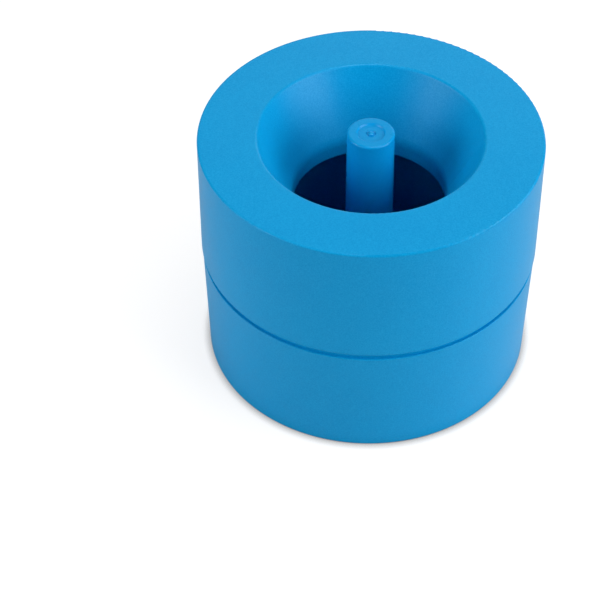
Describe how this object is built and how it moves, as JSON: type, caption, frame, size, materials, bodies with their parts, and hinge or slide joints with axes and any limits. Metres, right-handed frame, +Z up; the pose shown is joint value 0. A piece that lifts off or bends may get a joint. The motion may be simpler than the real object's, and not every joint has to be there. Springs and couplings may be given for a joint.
{
  "type": "magnetic paper clip holder",
  "caption": "Round desk holder for paper clips: a cup with a push-on upper shell, whose funnel surrounds an upright magnetic post.",
  "frame": {"origin": "on the table, at the middle of the foot", "axes": "+Z up along the axis of the post, X and Y in the table"},
  "size_m": [0.0734, 0.0734, 0.058],
  "materials": {
    "shell_blue": "fine spark-eroded matte grain",
    "post_blue": "smooth satin",
    "magnet_alloy": "ground dark grey alloy",
    "plug_blue": "smooth as moulded"
  },
  "bodies": {
    "lower_body": {"lower_shell": "shell_blue", "post_sleeve": "post_blue", "post_magnet": "magnet_alloy", "post_plug": "plug_blue"},
    "upper_body": {"upper_shell": "shell_blue"}
  },
  "joints": [
    {"name": "upper_shell_lift", "type": "slide", "parent": "lower_body", "child": "upper_body", "axis": [0, 0, 1], "range_m": [0, 0.04]}
  ]
}
